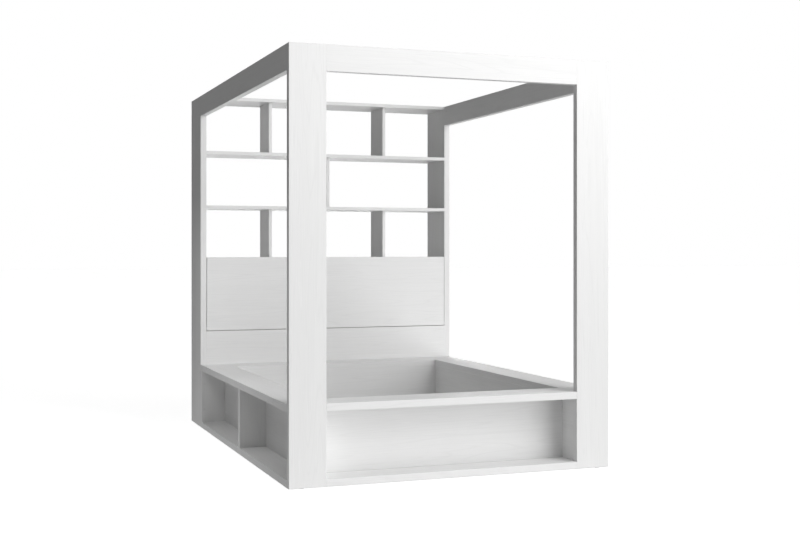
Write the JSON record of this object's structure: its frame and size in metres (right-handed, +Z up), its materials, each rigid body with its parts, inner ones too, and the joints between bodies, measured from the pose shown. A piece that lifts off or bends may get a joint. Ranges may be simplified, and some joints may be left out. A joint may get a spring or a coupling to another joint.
{
  "type": "canopy bed",
  "caption": "White panel canopy bed: a tall open bookcase at the head with a tilting backrest panel, a flat portal at the foot, side beams and a low base with open niches round a storage well.",
  "frame": {"origin": "on the floor under the middle of the bed's outline", "axes": "+Z up, +Y from the foot end to the head end, +X to the right seen from the foot end"},
  "size_m": [1.67, 2.346, 2.05],
  "materials": {
    "white_board": "satin white laminate with a faint grain",
    "batten_wood": "planed softwood",
    "beech": "fluted dowel",
    "zinc": "die-cast",
    "steel": "zinc plated",
    "dark_plastic": "matt",
    "white_plastic": "matt"
  },
  "bodies": {
    "frame": {"base_bottom_back": "white_board", "base_bottom_front": "white_board", "base_bottom_left": "white_board", "base_bottom_right": "white_board", "base_rim_back": "white_board", "base_rim_front": "white_board", "base_rim_left": "white_board", "base_rim_right": "white_board", "bookcase_back_panel": "white_board", "bookcase_bottom_board": "white_board", "bookcase_divider_lower_left": "white_board", "bookcase_divider_lower_right": "white_board", "bookcase_divider_middle": "white_board", "bookcase_divider_upper_left": "white_board", "bookcase_divider_upper_right": "white_board", "bookcase_shelf_lower": "white_board", "bookcase_shelf_middle": "white_board", "bookcase_shelf_upper": "white_board", "bookcase_side_left": "white_board", "bookcase_side_right": "white_board", "bookcase_top_board": "white_board", "cam_bolts": "steel", "cam_housings": "zinc", "canopy_side_beam_left": "white_board", "canopy_side_beam_right": "white_board", "dowels": "beech", "floor_glides": "dark_plastic", "frame_screws": "steel", "headboard_compartment_floor": "white_board", "headboard_fixed_panel": "white_board", "niche_divider_left": "white_board", "niche_divider_right": "white_board", "niche_end_left": "white_board", "niche_end_right": "white_board", "pivot_bushes": "white_plastic", "portal_top_beam": "white_board", "portal_upright_left": "white_board", "portal_upright_right": "white_board", "stay_knobs": "dark_plastic", "stay_studs": "steel", "well_cleat_back": "batten_wood", "well_cleat_front": "batten_wood", "well_cleat_left": "batten_wood", "well_cleat_right": "batten_wood", "well_floor_bearer": "batten_wood", "well_floor_front": "white_board", "well_floor_rear": "white_board", "well_wall_back": "white_board", "well_wall_front": "white_board", "well_wall_left": "white_board", "well_wall_right": "white_board"},
    "backrest": {"headboard_tilt_panel": "white_board", "pivot_pins": "steel", "stay_screws": "steel", "tilt_stay_left": "steel", "tilt_stay_right": "steel"}
  },
  "joints": [
    {"name": "backrest_tilt", "type": "hinge", "parent": "frame", "child": "backrest", "pos_m": [0, 0.882, 0.61104], "axis": [1, 0, 0], "range_deg": [0, 30]}
  ]
}
